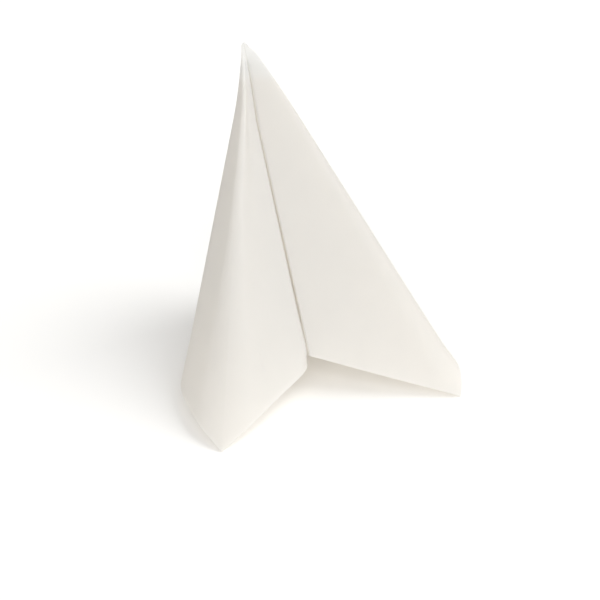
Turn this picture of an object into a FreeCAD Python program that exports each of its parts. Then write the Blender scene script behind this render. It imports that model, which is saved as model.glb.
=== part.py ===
import FreeCAD, Part
import math
import os

Vector = FreeCAD.Vector
up = Vector(0.0, 0.0, 1.0)

# Sheet, in millimetres: a square folded once across, so two layers hang from one closed edge
sheet_side = 400.0
layer = 0.3
layer_gap = 0.3
folded_side = sheet_side / 2.0
inner_layer = layer + layer_gap
stack = inner_layer + layer

# Peak: the middle of the closed edge, held up by the back crease, which just reaches the floor
peak_right = 2.9
peak_back = 16.4
peak_height = math.sqrt(folded_side ** 2 - peak_right ** 2 - peak_back ** 2)
peak = Vector(peak_right, peak_back, peak_height)

# Outline that the outer face would draw on the floor, from one free edge to the other:
# how far each corner lies to its side and to the front of the foot of the back crease
left_edge_front = 16.9
left_curl_front = 145.5
left_curl_radius = 17.0
left_tip_side = 90.2
left_tip_front = 181.9
left_tip_radius = 26.3
left_wing_side = 96.4
left_wing_front = 106.3
left_wing_radius = 45.5
crease_radius = 9.0
right_wing_side = 90.5
right_wing_front = 112.9
right_wing_radius = 60.0
right_tip_side = 110.2
right_tip_front = 172.4
right_tip_radius = 18.3
right_curl_front = 151.2
right_curl_radius = 8.0
right_edge_front = 31.6

# Front slit: where the left fold runs in, to the left of the crease, and how close the right one is
slit_front_side = 5.4
slit_edge_side = 4.8
slit_gap = 1.5

# Crown: the level where the sheet starts, with the free edges kept clear of the back crease
crown_drop = 14.0
crown_radius = 1.8
crown_edge_side = 0.6
crown_edge_front = 6.6
pocket_drop = 8.0

# Blunt top of the pinched tip, which is solid from the crown up because the paper crowds together
pinch_top = 4.5

bend_steps = 10

crease_foot = Vector(0.0, 0.0, 0.0)
left_tip = Vector(-left_tip_side, -left_tip_front, 0.0)
right_tip = Vector(right_tip_side, -right_tip_front, 0.0)
corners = [
    Vector(-slit_edge_side, -left_edge_front, 0.0),
    Vector(-slit_front_side, -left_curl_front, 0.0),
    left_tip,
    Vector(-left_wing_side, -left_wing_front, 0.0),
    crease_foot,
    Vector(right_wing_side, -right_wing_front, 0.0),
    right_tip,
    Vector(slit_gap - slit_front_side, -right_curl_front, 0.0),
    Vector(slit_gap - slit_edge_side, -right_edge_front, 0.0),
]
radii = [
    left_curl_radius,
    left_tip_radius,
    left_wing_radius,
    crease_radius,
    right_wing_radius,
    right_tip_radius,
    right_curl_radius,
]


class Line:
    """One straight line down the sheet, from the crown to the cut edge."""

    def __init__(self, floor, crown, direction):
        self.floor = floor
        self.crown = crown
        self.direction = direction
        self.angle = 0.0

    def inward(self):
        """From the outer face to the inner face, square to the sheet."""
        down = (self.floor - peak).normalize()
        return down.cross(self.direction).normalize()

    def foot(self):
        """Where the cut edge comes on this line, because the flat sheet is a rectangle."""
        reach = folded_side / max(math.cos(self.angle), abs(math.sin(self.angle)))
        return peak + (self.floor - peak).normalize() * reach


def rounded_path(corners, radii):
    """Points and directions along straight runs joined by bends, which all turn right."""
    path = [(corners[0], (corners[1] - corners[0]).normalize())]
    for before, corner, after, radius in zip(corners, corners[1:], corners[2:], radii):
        to_before = (before - corner).normalize()
        to_after = (after - corner).normalize()
        half_angle = to_before.getAngle(to_after) / 2.0
        start = corner + to_before * (radius / math.tan(half_angle))
        centre = corner + (to_before + to_after).normalize() * (radius / math.sin(half_angle))
        turn = math.degrees(math.pi - 2.0 * half_angle)
        for step in range(bend_steps + 1):
            turned = FreeCAD.Rotation(up, -turn * step / bend_steps)
            path.append((centre + turned.multVec(start - centre), turned.multVec(-to_before)))
    path.append((corners[-1], (corners[-1] - corners[-2]).normalize()))
    return path


def crown_point(floor_point):
    """Where the line from a floor point to the peak passes the crown."""
    return peak + (floor_point - peak) * (crown_drop / peak_height)


def sheet_lines():
    crown_corners = [crown_point(corner) for corner in corners]
    crown_foot = crown_point(crease_foot)
    for side, edge, curl in ((-crown_edge_side, 0, 1), (crown_edge_side, -1, -2)):
        crown_corners[edge] = crown_foot + Vector(side, -crown_edge_front, 0.0)
        crown_corners[curl].x = crown_corners[edge].x
    crown_radii = [max(crown_radius, radius * crown_drop / peak_height) for radius in radii]
    floor_path = rounded_path(corners, radii)
    crown_path = rounded_path(crown_corners, crown_radii)
    return [Line(floor, crown, way) for (floor, way), (crown, _) in zip(floor_path, crown_path)]


def measure_angles(lines):
    """Angle in the flat sheet of each line from the back crease, which is the middle of its bend."""
    crease_bend = corners.index(crease_foot) - 1
    crease = lines[1 + crease_bend * (bend_steps + 1) + bend_steps // 2]
    for before, line in zip(lines, lines[1:]):
        line.angle = before.angle + (before.floor - peak).getAngle(line.floor - peak)
    start = crease.angle
    for line in lines:
        line.angle -= start


def add_corner_line(lines, angle):
    """Put a line down to a corner of the sheet."""
    after = next(i for i, line in enumerate(lines) if line.angle > angle)
    first, second = lines[after - 1], lines[after]
    share = (angle - first.angle) / (second.angle - first.angle)
    floor = first.floor + (second.floor - first.floor) * share
    crown = first.crown + (second.crown - first.crown) * share
    direction = first.direction + (second.direction - first.direction) * share
    corner = Line(floor, crown, direction.normalize())
    corner.angle = angle
    lines.insert(after, corner)


def crown_level(line, depth):
    """A point of the sheet in the level plane of the crown, at a depth under the outer face."""
    start = line.crown + line.inward() * depth
    down = line.foot() - line.crown
    return start - down * ((start.z - line.crown.z) / down.z)


def pocket_level(line, depth):
    """A point where the space between the two layers begins."""
    share = pocket_drop / folded_side
    return line.crown + (line.foot() - line.crown) * share + line.inward() * depth


def foot_level(line, depth):
    return line.foot() + line.inward() * depth


def rim(first, second, level, depth):
    return Part.makeLine(level(first, depth), level(second, depth))


def flat_face(points):
    return Part.Face(Part.makePolygon(points + points[:1]))


def strip(top_first, top_second, bottom_second, bottom_first):
    """The strip between two lines down the sheet, as two flat faces."""
    return [
        flat_face([top_first, top_second, bottom_second]),
        flat_face([top_first, bottom_second, bottom_first]),
    ]


def level_strip(first, second, upper, upper_depth, lower, lower_depth):
    """A strip between two levels, each level at its own depth."""
    return strip(
        upper(first, upper_depth),
        upper(second, upper_depth),
        lower(second, lower_depth),
        lower(first, lower_depth),
    )


def panel_faces(first, second):
    """Both skins of both layers between two lines down the sheet, and the cut edges at the foot."""
    faces = level_strip(first, second, crown_level, 0.0, foot_level, 0.0)
    faces += level_strip(first, second, crown_level, stack, foot_level, stack)
    faces += level_strip(first, second, pocket_level, layer, foot_level, layer)
    faces += level_strip(first, second, pocket_level, inner_layer, foot_level, inner_layer)
    faces += level_strip(first, second, pocket_level, layer, pocket_level, inner_layer)
    faces += level_strip(first, second, foot_level, 0.0, foot_level, layer)
    faces += level_strip(first, second, foot_level, inner_layer, foot_level, stack)
    return faces


def half_round(line, level, outward, outer, inner):
    """Round the closed edge from one depth to another."""
    start = level(line, outer)
    end = level(line, inner)
    middle = (start + end) / 2.0 + outward * ((inner - outer) / 2.0)
    return Part.Arc(start, middle, end).toShape()


def join(first, second, end):
    return Part.makeLine(first.Vertexes[end].Point, second.Vertexes[end].Point)


def closed_edge_faces(line, outward):
    """The closed edge: a round fold, and the round end of the space between the layers."""
    crown = half_round(line, crown_level, outward, 0.0, stack)
    foot = half_round(line, foot_level, outward, 0.0, stack)
    pocket = half_round(line, pocket_level, outward, layer, inner_layer)
    pocket_foot = half_round(line, foot_level, outward, layer, inner_layer)
    pocket_chord = Part.makeLine(pocket.Vertexes[0].Point, pocket.Vertexes[-1].Point)
    return [
        Part.makeRuledSurface(crown, foot, 1),
        Part.makeRuledSurface(pocket, pocket_foot, 1),
        Part.Face(Part.Wire([pocket, pocket_chord])),
        Part.Face(Part.Wire([join(foot, pocket_foot, 0), pocket_foot, join(pocket_foot, foot, -1), foot])),
    ]


def front_most(lines, side):
    """The line that reaches furthest to the front, to the left or right of the back crease."""
    forward = (right_tip - left_tip).normalize().cross(up)
    half = [line for line in lines if line.angle * side > 0.0]
    return lines.index(max(half, key=lambda line: line.crown.dot(forward)))


def tip_faces(lines):
    """The pinched tip: its sides, its blunt top and the face that closes the hollows under it."""
    left = front_most(lines, -1.0)
    right = front_most(lines, 1.0)
    sides = lines[left:right + 1] + [lines[left]]
    faces = []
    top_points = [peak + (line.crown - peak) * (pinch_top / crown_drop) for line in sides]
    for first, second, top_first, top_second in zip(sides, sides[1:], top_points, top_points[1:]):
        faces += strip(top_first, top_second, crown_level(second, 0.0), crown_level(first, 0.0))
    faces.append(Part.Face(Part.makePolygon(top_points)))

    edges = [rim(first, second, crown_level, 0.0) for first, second in zip(lines[:left], lines[1:left + 1])]
    edges.append(rim(lines[left], lines[right], crown_level, 0.0))
    edges += [rim(first, second, crown_level, 0.0) for first, second in zip(lines[right:], lines[right + 1:])]
    edges.append(half_round(lines[-1], crown_level, lines[-1].direction, 0.0, stack))
    edges += [rim(first, second, crown_level, stack) for first, second in zip(lines[::-1], lines[-2::-1])]
    edges.append(half_round(lines[0], crown_level, -lines[0].direction, 0.0, stack))
    faces.append(Part.Face(Part.Wire(edges)))
    return faces


def napkin_solid():
    lines = sheet_lines()
    measure_angles(lines)
    add_corner_line(lines, -math.pi / 4.0)
    add_corner_line(lines, math.pi / 4.0)
    faces = []
    for first, second in zip(lines, lines[1:]):
        faces += panel_faces(first, second)
    faces += closed_edge_faces(lines[0], -lines[0].direction)
    faces += closed_edge_faces(lines[-1], lines[-1].direction)
    faces += tip_faces(lines)
    shell = Part.Shell(faces)
    shell.sewShape()
    return Part.Solid(shell)


napkin = napkin_solid()
box = napkin.BoundBox
napkin.translate(Vector(-box.Center.x, -box.Center.y, -box.ZMin))

os.makedirs("parts", exist_ok=True)
napkin.exportStep("parts/folded_napkin.step")
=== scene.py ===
import math
import bpy
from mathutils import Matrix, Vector, noise


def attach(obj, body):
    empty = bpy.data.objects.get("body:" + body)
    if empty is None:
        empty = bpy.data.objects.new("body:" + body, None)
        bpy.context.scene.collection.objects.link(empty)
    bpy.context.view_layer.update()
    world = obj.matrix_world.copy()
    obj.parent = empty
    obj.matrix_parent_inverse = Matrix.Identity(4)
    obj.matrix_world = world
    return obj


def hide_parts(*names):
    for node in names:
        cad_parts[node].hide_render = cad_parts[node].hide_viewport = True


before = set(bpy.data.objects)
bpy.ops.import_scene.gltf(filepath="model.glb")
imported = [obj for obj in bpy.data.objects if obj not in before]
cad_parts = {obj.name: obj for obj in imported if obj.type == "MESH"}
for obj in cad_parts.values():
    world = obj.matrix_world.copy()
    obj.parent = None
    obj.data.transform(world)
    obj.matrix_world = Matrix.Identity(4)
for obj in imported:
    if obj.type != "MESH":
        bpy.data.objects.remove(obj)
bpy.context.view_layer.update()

# Sheet sizes in metres, as in the part's source
folded_side = 0.200
layer = 0.0003
layer_gap = 0.0003
inner_layer = layer + layer_gap
stack = inner_layer + layer
peak_right = 0.0029
peak_back = 0.0164
peak_height = math.sqrt(folded_side ** 2 - peak_right ** 2 - peak_back ** 2)
peak = Vector((peak_right, peak_back, peak_height))

# Floor outline of the fold as in the part's source, from the left free edge round to the right one
slit_gap = 0.0015
left_edge = Vector((-0.0048, -0.0169, 0.0))
left_curl = Vector((-0.0054, -0.1455, 0.0))
left_tip = Vector((-0.0902, -0.1819, 0.0))
left_wing = Vector((-0.0964, -0.1063, 0.0))
crease_foot = Vector((0.0, 0.0, 0.0))
right_wing = Vector((0.0905, -0.1129, 0.0))
right_tip = Vector((0.1102, -0.1724, 0.0))
right_curl = Vector((left_curl.x + slit_gap, -0.1512, 0.0))
right_edge = Vector((left_edge.x + slit_gap, -0.0316, 0.0))
corners = [
    left_edge,
    left_curl,
    left_tip,
    left_wing,
    crease_foot,
    right_wing,
    right_tip,
    right_curl,
    right_edge,
]

# Radii of the bends at these corners. The left curl opens wider at its foot than in the part's source
left_curl_radius = 0.0280
left_tip_radius = 0.0263
left_wing_radius = 0.0455
crease_radius = 0.0090
right_wing_radius = 0.0600
right_tip_radius = 0.0183
right_curl_radius = 0.0080
middle_radii = [left_wing_radius, crease_radius, right_wing_radius, right_tip_radius]
radii = [left_curl_radius, left_tip_radius] + middle_radii + [right_curl_radius]

# Higher up the two front curls are pressed together, and the right one stays so down to its foot
pressed_gap = 0.0003
pressed_left_edge_front = 0.0236
pressed_left_curl_radius = 0.0100
pressed_left_tip_radius = 0.0100
pressed_right_tip_reach = 1.0045
pressed_right_curl_front = 0.1462
pressed_right_curl_radius = 0.0012
pressed_right_side = left_curl.x + pressed_gap
pressed_corners = [
    Vector((left_edge.x, -pressed_left_edge_front, 0.0)),
    left_curl,
    left_tip,
    left_wing,
    crease_foot,
    right_wing,
    right_tip * pressed_right_tip_reach,
    Vector((pressed_right_side, -pressed_right_curl_front, 0.0)),
    Vector((pressed_right_side, right_edge.y, 0.0)),
]
pressed_left_radii = [pressed_left_curl_radius, pressed_left_tip_radius]
pressed_radii = pressed_left_radii + middle_radii + [pressed_right_curl_radius]

# Where the left side starts to open: the share of the way down, at its tip and at its curl,
# and the shares of the way from tip to curl between which the one passes into the other
tip_opening = 0.25
curl_opening = 0.955
curl_band_start = 0.40
curl_band_end = 0.60

# Crown, where the hidden free edges start, and the pinched tip above it
crown_drop = 0.014
crown_edge_front = 0.0066
crown_edge_side = 0.0006
crown_radius = 0.0018
pressed_crown_side = 0.0002
pressed_crown_radius = 0.0010
pinch_top = 0.0045
pinch_rings = 5

# Rings of the rounded cap: their size, as a share of the blunt top, and their rise above it
tip_cap = ((0.92, 0.0010), (0.72, 0.0020), (0.44, 0.0028), (0.18, 0.0032))

# Lean of the slit, sway of the sides and nod of the tip across the view, in metres.
# Fades, turns, tops and feet are shares of the way down. Reaches, starts and ends are slopes from the slit
slit_lean = 0.0070
slit_lean_fade = 0.23
slit_middle = 0.3
lean_reach_left = 0.24
lean_reach_right = 0.26
left_sway = 0.0014
left_sway_top = 0.2
left_sway_fade = 0.45
left_sway_start = 0.05
left_sway_end = 0.22
right_sway = 0.0026
right_sway_turn = 0.50
right_sway_top = 0.04
right_sway_foot = 0.88
right_sway_start = 0.05
right_sway_end = 0.35
tip_bend = 0.0030
tip_bend_start = 0.152

# Slow waves in the paper: how fast they change round the fold and down it, and their place in the noise
ripple = 0.00045
broad_wave = (3.1, 0.9, 4.2)
fine_wave = (8.3, 1.7, 9.1)
fine_wave_share = 0.35

# Layers that come apart near the cut edge, but not at the closed edge, and more in some places
foot_spread = 0.0011
foot_band = 0.035
fold_hold = 0.25
loose_average = 0.5
loose_wave = 5.3
loose_place = (2.7, 0.4)

# Mesh steps. A row bias under 1 brings the rows closer together towards the foot
run_spacing = 0.008
fewest_steps = 2
run_steps = [max(fewest_steps, round((b - a).length / run_spacing)) for a, b in zip(corners, corners[1:])]
bend_steps = 14
length_steps = 56
row_bias = 0.9
fold_steps = 4
pocket_start = 0.04
sharp_angle = 50.0

# Angle in the flat sheet from the back crease to a corner of the sheet, and to the closed edge
corner_angle = math.pi / 4.0
edge_angle = math.pi / 2.0

# View of the photograph: where the camera looks and from where, and its lens and frame in millimetres
view_side = -21.02
view_up = 29.61
view_distance = 0.8291
view_lens = 64.76
view_frame = 36.0
view_target = Vector((0.0329, -0.0070, 0.0))
camera_right = Vector((math.cos(math.radians(view_side)), math.sin(math.radians(view_side)), 0.0))

# Foot of the back crease in the part's frame
crease_place = Vector((-0.003249, 0.075311, 0.000763))

# Colours of the paper, of the light through it and of the light between its layers
paper_low = (0.846, 0.872, 0.892, 1.0)
paper_high = (0.864, 0.890, 0.910, 1.0)
paper_glow = (0.965, 0.940, 0.900, 1.0)
paper_thinness = 0.60
space_tint = (1.0, 0.986, 0.968, 1.0)

# Surface of the paper: clouds of tone, a grain and fibres drawn out in height
cloud_scale = 55.0
cloud_low = 0.3
cloud_high = 0.7
grain_scale = 900.0
fibre_scale = 1500.0
fibre_stretch = (1.0, 1.0, 0.22)

# Floor and light, with angles in degrees
white = (1.0, 1.0, 1.0, 1.0)
floor_colour = (0.945, 0.938, 0.922, 1.0)
floor_reach = 6.0
ambient_strength = 0.56
lamp_spread = 50.0
lamp_colour = (1.0, 0.998, 0.992)
key_side = 70.0
key_up = 45.0
key_strength = 1.58
fill_side = -21.0
fill_up = 35.0
fill_strength = 1.25


def smooth(value, start, end):
    """A share that goes softly from 0 at the start to 1 at the end."""
    t = min(max((value - start) / (end - start), 0.0), 1.0)
    return t * t * (3.0 - 2.0 * t)


def turned(vector, angle):
    """A vector turned about the upright."""
    c, s = math.cos(angle), math.sin(angle)
    return Vector((vector.x * c - vector.y * s, vector.x * s + vector.y * c, vector.z))


def rounded_path(outline, bends):
    """Points and directions along straight runs joined by bends, which all turn right."""
    path = [(outline[0], (outline[1] - outline[0]).normalized())]
    last = outline[0]
    for before, corner, after, radius, steps in zip(outline, outline[1:], outline[2:], bends, run_steps):
        to_before = (before - corner).normalized()
        to_after = (after - corner).normalized()
        half_angle = to_before.angle(to_after) / 2.0
        start = corner + to_before * (radius / math.tan(half_angle))
        centre = corner + (to_before + to_after).normalized() * (radius / math.sin(half_angle))
        turn = math.pi - 2.0 * half_angle
        add_run(path, last, start, steps)
        for step in range(bend_steps + 1):
            angle = -turn * step / bend_steps
            path.append((centre + turned(start - centre, angle), turned(-to_before, angle)))
        last = path[-1][0]
    add_run(path, last, outline[-1], run_steps[-1])
    path.append((outline[-1], (outline[-1] - outline[-2]).normalized()))
    return path


def add_run(path, start, end, steps):
    """Add evenly spaced points between the two ends of a straight run."""
    way = (end - start).normalized()
    for step in range(1, steps):
        path.append((start.lerp(end, step / steps), way))


class Line:
    """One straight line down the sheet, from the crown to the cut edge."""

    def __init__(self, floor, crown, direction):
        self.floor = floor
        self.crown = crown
        self.direction = direction
        self.inward = (floor - peak).normalized().cross(direction).normalized()
        self.angle = 0.0
        self.pressed = self

    @property
    def foot(self):
        """Where the cut edge comes on this line, because the flat sheet is a rectangle."""
        reach = folded_side / max(math.cos(self.angle), abs(math.sin(self.angle)))
        return peak + (self.floor - peak).normalized() * reach


def crown_point(floor_point):
    """Where the line from a floor point to the peak passes the crown."""
    return peak + (floor_point - peak) * (crown_drop / peak_height)


def sheet_lines(outline, bends, smallest_bend, edge_side):
    """The lines of the sheet in order, with their angles from the back crease."""
    crown_outline = [crown_point(corner) for corner in outline]
    for side, edge, curl in ((-edge_side, 0, 1), (edge_side, -1, -2)):
        crown_outline[edge] = crown_point(crease_foot) + Vector((side, -crown_edge_front, 0.0))
        crown_outline[curl].x = crown_outline[edge].x
    crown_bends = [max(smallest_bend, radius * crown_drop / peak_height) for radius in bends]
    floor_path = rounded_path(outline, bends)
    crown_path = rounded_path(crown_outline, crown_bends)
    lines = [Line(floor, crown, way) for (floor, way), (crown, _) in zip(floor_path, crown_path)]
    crease = min(lines, key=lambda line: (line.floor - crease_foot).length)
    for before, line in zip(lines, lines[1:]):
        line.angle = before.angle + (before.floor - peak).angle(line.floor - peak)
    start = crease.angle
    for line in lines:
        line.angle -= start
    add_corner_line(lines, -corner_angle)
    add_corner_line(lines, corner_angle)
    return lines


def add_corner_line(lines, angle):
    """Put a line down to a corner of the sheet."""
    after = next(i for i, line in enumerate(lines) if line.angle > angle)
    first, second = lines[after - 1], lines[after]
    share = (angle - first.angle) / (second.angle - first.angle)
    direction = first.direction.lerp(second.direction, share).normalized()
    corner = Line(first.floor.lerp(second.floor, share), first.crown.lerp(second.crown, share), direction)
    corner.angle = angle
    lines.insert(after, corner)


def napkin_lines():
    """The lines of the sheet, each with its place in the pressed outline that it has higher up."""
    lines = sheet_lines(corners, radii, crown_radius, crown_edge_side)
    pressed_lines = sheet_lines(pressed_corners, pressed_radii, pressed_crown_radius, pressed_crown_side)
    for line, pressed in zip(lines, pressed_lines):
        line.pressed = pressed
    return lines


def wave(line, share, form):
    """Noise that changes slowly round the fold and down it."""
    round_fold, down_fold, place = form
    return noise.noise(Vector((line.angle * round_fold, share * down_fold, place)))


def unevenness(line, share):
    """How far the paper stands out from its plain cone, in slow waves that run down the sheet."""
    broad = wave(line, share, broad_wave)
    fine = wave(line, share, fine_wave)
    return ripple * (broad + fine_wave_share * fine) * share


def layer_spread(line, share):
    """How far the outer layer stands off the inner one near the cut edge."""
    band = smooth(share, 1.0 - foot_band / folded_side, 1.0)
    from_fold = smooth(edge_angle - abs(line.angle), 0.0, fold_hold)
    loose = loose_average + noise.noise(Vector((line.angle * loose_wave, *loose_place)))
    return foot_spread * band * from_fold * max(loose, 0.0)


def bend(point):
    """Lean the slit and nod the tip to the left, and sway the two sides a little."""
    below = max(peak_height - point.z, 0.0)
    share = min(below / peak_height, 1.0)
    slit_foot = left_curl.lerp(left_edge, slit_middle)
    across = (point - peak.lerp(slit_foot, share)).dot(camera_right) / max(below, crown_drop)
    reach = lean_reach_left if across < 0.0 else lean_reach_right
    near = smooth(1.0 - abs(across) / reach, 0.0, 1.0)
    lean = slit_lean * (1.0 - share) * min(share / slit_lean_fade, 1.0) * near
    over = max(point.z - tip_bend_start, 0.0) / (peak_height - tip_bend_start)
    left = left_sway * smooth(share, 0.0, left_sway_top) * (1.0 - left_sway_fade * share)
    left *= smooth(-across, left_sway_start, left_sway_end)
    right = right_sway * (1.0 - share / right_sway_turn) * smooth(share, 0.0, right_sway_top)
    right *= 1.0 - smooth(share, right_sway_foot, 1.0)
    right *= smooth(across, right_sway_start, right_sway_end)
    return point + camera_right * (left + right - lean - tip_bend * over * over)


def crown_level(line, depth):
    """A point of the sheet in the level plane of the crown, at a depth under the outer face."""
    start = line.crown + line.inward * depth
    down = line.foot - line.crown
    return start - down * ((start.z - line.crown.z) / down.z)


def plain_point(line, share, depth):
    """A point of the sheet on its plain cone, a share of the way down from the crown."""
    return crown_level(line, depth).lerp(line.foot + line.inward * depth, share)


def sheet_point(line, share, depth):
    """A point of the sheet, with the left side opened near its foot and the paper uneven."""
    from_tip = (line.floor - left_tip).length / (left_curl - left_tip).length
    near_curl = smooth(from_tip, curl_band_start, curl_band_end)
    opened = smooth(share, tip_opening + (curl_opening - tip_opening) * near_curl, 1.0)
    if line.angle > 0.0:
        opened = 0.0
    point = plain_point(line.pressed, share, depth).lerp(plain_point(line, share, depth), opened)
    point -= line.inward * unevenness(line, share)
    if depth < stack / 2.0:
        point -= line.inward * layer_spread(line, share)
    return point


def half_round(line, share, outward, outer, inner):
    """Points round the closed edge, between the outer depth and the inner one."""
    start = sheet_point(line, share, outer)
    end = sheet_point(line, share, inner)
    middle = (start + end) / 2.0
    points = []
    for step in range(1, fold_steps):
        angle = math.pi * step / fold_steps
        along = (start - middle) * math.cos(angle)
        out = outward * (start - middle).length * math.sin(angle)
        points.append(middle + along + out)
    return points


def ring(lines, share, outer, inner):
    """Once round both layers at one level: along the outer face, round the closed edge and back."""
    points = [sheet_point(line, share, outer) for line in lines]
    points += half_round(lines[-1], share, lines[-1].direction, outer, inner)
    points += [sheet_point(line, share, inner) for line in reversed(lines)]
    points += reversed(half_round(lines[0], share, -lines[0].direction, outer, inner))
    return points


class Builder:
    """Collects rings of points and the faces between them."""

    def __init__(self):
        self.points = []
        self.faces = []
        self.unseen = []

    def add(self, points):
        """Bend a ring of points into place, keep them and give their numbers."""
        first = len(self.points)
        self.points += [bend(point) for point in points]
        return list(range(first, len(self.points)))

    def band(self, upper, lower, closed=True):
        """Faces between two rings, all the way round or only from end to end."""
        pairs = list(zip(upper, lower))
        if closed:
            pairs.append(pairs[0])
        for (a, b), (c, d) in zip(pairs, pairs[1:]):
            self.faces.append((a, b, d, c))

    def hide_from(self, first):
        """Mark the faces from this number on as lying between the layers."""
        self.unseen += range(first, len(self.faces))


def paper_mesh(lines):
    """Both skins of both layers, the space between them, the cut edges and the pinched tip."""
    built = Builder()
    rows = [math.pow(step / length_steps, row_bias) for step in range(length_steps + 1)]
    outer = [built.add(ring(lines, share, 0.0, stack)) for share in rows]
    pocket_rows = [share for share in rows if share > pocket_start]
    pocket = [built.add(ring(lines, share, layer, inner_layer)) for share in pocket_rows]
    for upper, lower in zip(outer, outer[1:]):
        built.band(upper, lower)
    built.band(outer[-1], pocket[-1])
    add_space(built, pocket, len(lines))
    add_tip(built, outer[0], lines)
    return built


def add_space(built, pocket, count):
    """The space between the layers: its sides, and the strip and two round ends that close its top."""
    first = len(built.faces)
    for upper, lower in zip(pocket, pocket[1:]):
        built.band(lower, upper)
    top = pocket[0]
    arc = fold_steps - 1
    far_side = top[count + arc:2 * count + arc][::-1]
    built.band(top[:count], far_side, closed=False)
    built.faces.append(top[count - 1:count + arc + 1])
    built.faces.append(top[2 * count + arc - 1:] + top[:1])
    built.hide_from(first)


def add_tip(built, crown, lines):
    """The pinched tip: the face that closes the hollows under it, its sides and its rounded cap."""
    count = len(lines)
    built.faces.append([crown[0]] + crown[:count - 1:-1] + [crown[count - 1]])
    last_ring = crown[:count]
    for step in range(1, pinch_rings + 1):
        scale = 1.0 + (pinch_top / crown_drop - 1.0) * step / pinch_rings
        last_ring = add_tip_ring(built, last_ring, tip_ring(lines, scale))
    rim = tip_ring(lines, pinch_top / crown_drop)
    middle = sum(rim, Vector()) / count
    for size, rise in tip_cap:
        cap_ring = [middle.lerp(point, size) + Vector((0.0, 0.0, rise)) for point in rim]
        last_ring = add_tip_ring(built, last_ring, cap_ring)
    built.faces.append(last_ring[::-1])


def tip_ring(lines, scale):
    """The outline of the crown, scaled towards the peak."""
    return [peak + (line.pressed.crown - peak) * scale for line in lines]


def add_tip_ring(built, last_ring, points):
    next_ring = built.add(points)
    built.band(next_ring, last_ring)
    return next_ring


def paper_object(lines):
    """The napkin as one closed mesh, in the part's frame."""
    built = paper_mesh(lines)
    mesh = bpy.data.meshes.new("folded_napkin_look")
    mesh.from_pydata([point + crease_place for point in built.points], [], built.faces)
    mesh.materials.append(paper_material())
    mesh.materials.append(unseen_material())
    for face in mesh.polygons:
        face.use_smooth = True
    for index in built.unseen:
        mesh.polygons[index].material_index = len(mesh.materials) - 1
    mesh.set_sharp_from_angle(angle=math.radians(sharp_angle))
    piece = bpy.data.objects.new("folded_napkin_look", mesh)
    bpy.context.scene.collection.objects.link(piece)
    return piece


def add_node(tree, kind, **values):
    """A shader node, with values for its sockets, whose names have _ for each space."""
    node = tree.nodes.new(kind)
    for name, value in values.items():
        node.inputs[name.replace("_", " ")].default_value = value
    return node


def new_material(name):
    material = bpy.data.materials.new(name)
    material.use_nodes = True
    material.node_tree.nodes.clear()
    return material, material.node_tree


def paper_material():
    """Matte white tissue: a soft cloudiness, a fine fibre grain and a little sheen at the edges."""
    material, tree = new_material("white tissue paper")
    place = add_node(tree, "ShaderNodeTexCoord")
    cloud = add_node(tree, "ShaderNodeTexNoise", Scale=cloud_scale, Detail=3.0)
    grain = add_node(tree, "ShaderNodeTexNoise", Scale=grain_scale, Detail=4.0)
    stretch = add_node(tree, "ShaderNodeMapping", Scale=fibre_stretch)
    fibre = add_node(tree, "ShaderNodeTexNoise", Scale=fibre_scale, Detail=2.0, Distortion=1.5)
    for node in (cloud, grain, stretch):
        tree.links.new(place.outputs["Object"], node.inputs["Vector"])
    tree.links.new(stretch.outputs["Vector"], fibre.inputs["Vector"])

    shade = add_node(tree, "ShaderNodeValToRGB")
    stops = shade.color_ramp.elements
    for stop, position, colour in zip(stops, (cloud_low, cloud_high), (paper_low, paper_high)):
        stop.position = position
        stop.color = colour
    tree.links.new(cloud.outputs["Fac"], shade.inputs["Fac"])

    coarse = add_node(tree, "ShaderNodeBump", Strength=0.2, Distance=0.0003)
    fine = add_node(tree, "ShaderNodeBump", Strength=0.25, Distance=0.0002)
    tree.links.new(grain.outputs["Fac"], coarse.inputs["Height"])
    tree.links.new(fibre.outputs["Fac"], fine.inputs["Height"])
    tree.links.new(coarse.outputs["Normal"], fine.inputs["Normal"])

    surface = add_node(
        tree,
        "ShaderNodeBsdfPrincipled",
        Roughness=0.9,
        Specular_IOR_Level=0.2,
        Sheen_Weight=0.08,
        Sheen_Roughness=0.6,
    )
    glow = add_node(tree, "ShaderNodeBsdfTranslucent", Color=paper_glow)
    both = add_node(tree, "ShaderNodeMixShader", Fac=paper_thinness)
    output = add_node(tree, "ShaderNodeOutputMaterial")
    tree.links.new(shade.outputs["Color"], surface.inputs["Base Color"])
    tree.links.new(fine.outputs["Normal"], surface.inputs["Normal"])
    tree.links.new(surface.outputs["BSDF"], both.inputs[1])
    tree.links.new(glow.outputs["BSDF"], both.inputs[2])
    tree.links.new(both.outputs["Shader"], output.inputs["Surface"])
    return material


def unseen_material():
    """The faces between the two layers only warm the light a little, so each layer dims it once."""
    material, tree = new_material("between the layers")
    clear = add_node(tree, "ShaderNodeBsdfTransparent", Color=space_tint)
    output = add_node(tree, "ShaderNodeOutputMaterial")
    tree.links.new(clear.outputs["BSDF"], output.inputs["Surface"])
    return material


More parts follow.
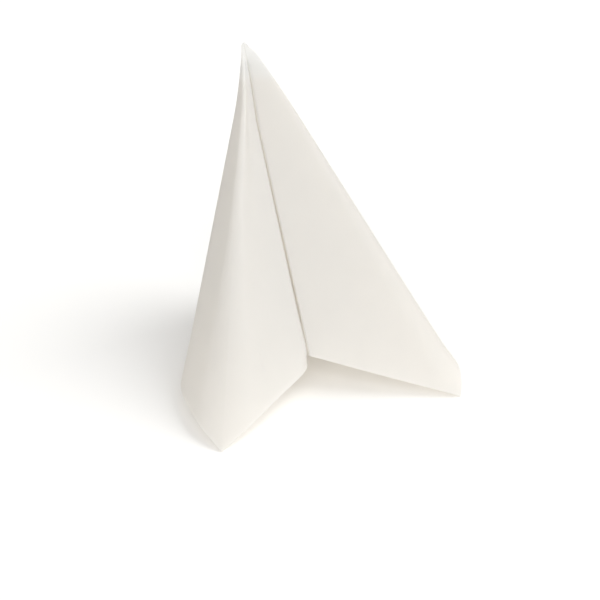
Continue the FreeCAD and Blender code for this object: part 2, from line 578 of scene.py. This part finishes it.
def floor_object():
    """A plain pale floor, wide enough to fill every view."""
    mesh = bpy.data.meshes.new("studio_floor")
    signs = ((-1, -1), (1, -1), (1, 1), (-1, 1))
    floor_corners = [(x * floor_reach, y * floor_reach, 0.0) for x, y in signs]
    mesh.from_pydata(floor_corners, [], [(0, 1, 2, 3)])
    ground = bpy.data.objects.new("studio_floor", mesh)
    bpy.context.scene.collection.objects.link(ground)
    material, tree = new_material("pale floor")
    surface = add_node(tree, "ShaderNodeBsdfDiffuse", Color=floor_colour)
    output = add_node(tree, "ShaderNodeOutputMaterial")
    tree.links.new(surface.outputs["BSDF"], output.inputs["Surface"])
    mesh.materials.append(material)
    return ground


def add_world():
    """Even white light from all round, and pure white where the camera sees it."""
    world = bpy.data.worlds.new("studio")
    bpy.context.scene.world = world
    world.use_nodes = True
    tree = world.node_tree
    tree.nodes.clear()
    path = add_node(tree, "ShaderNodeLightPath")
    fill = add_node(tree, "ShaderNodeBackground", Color=white, Strength=ambient_strength)
    seen = add_node(tree, "ShaderNodeBackground", Color=white, Strength=1.0)
    mix = add_node(tree, "ShaderNodeMixShader")
    output = add_node(tree, "ShaderNodeOutputWorld")
    tree.links.new(path.outputs["Is Camera Ray"], mix.inputs["Fac"])
    tree.links.new(fill.outputs["Background"], mix.inputs[1])
    tree.links.new(seen.outputs["Background"], mix.inputs[2])
    tree.links.new(mix.outputs["Shader"], output.inputs["Surface"])


def direction_to(side, height):
    """Unit vector towards a place so far round from the front and so far up, in degrees."""
    side, height = math.radians(side), math.radians(height)
    level = math.cos(height)
    return Vector((math.sin(side) * level, -math.cos(side) * level, math.sin(height)))


def add_sun(name, side, height, strength):
    """A wide soft sun that shines from a direction."""
    data = bpy.data.lights.new(name, "SUN")
    data.energy = strength
    data.angle = math.radians(lamp_spread)
    data.color = lamp_colour
    lamp = bpy.data.objects.new(name, data)
    lamp.rotation_euler = direction_to(side, height).to_track_quat("Z", "Y").to_euler()
    bpy.context.scene.collection.objects.link(lamp)


def add_camera():
    """The camera at the photograph's viewing angle."""
    data = bpy.data.cameras.new("view")
    data.sensor_width = view_frame
    data.lens = view_lens
    camera = bpy.data.objects.new("view", data)
    back = direction_to(view_side, view_up)
    camera.location = crease_place + view_target + back * view_distance
    camera.rotation_euler = back.to_track_quat("Z", "Y").to_euler()
    bpy.context.scene.collection.objects.link(camera)
    bpy.context.scene.camera = camera


napkin = paper_object(napkin_lines())
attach(napkin, "root")
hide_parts("folded_napkin")
ground = floor_object()
add_world()
add_sun("key", key_side, key_up, key_strength)
add_sun("fill", fill_side, fill_up, fill_strength)
add_camera()
bpy.context.scene.view_settings.view_transform = "Standard"
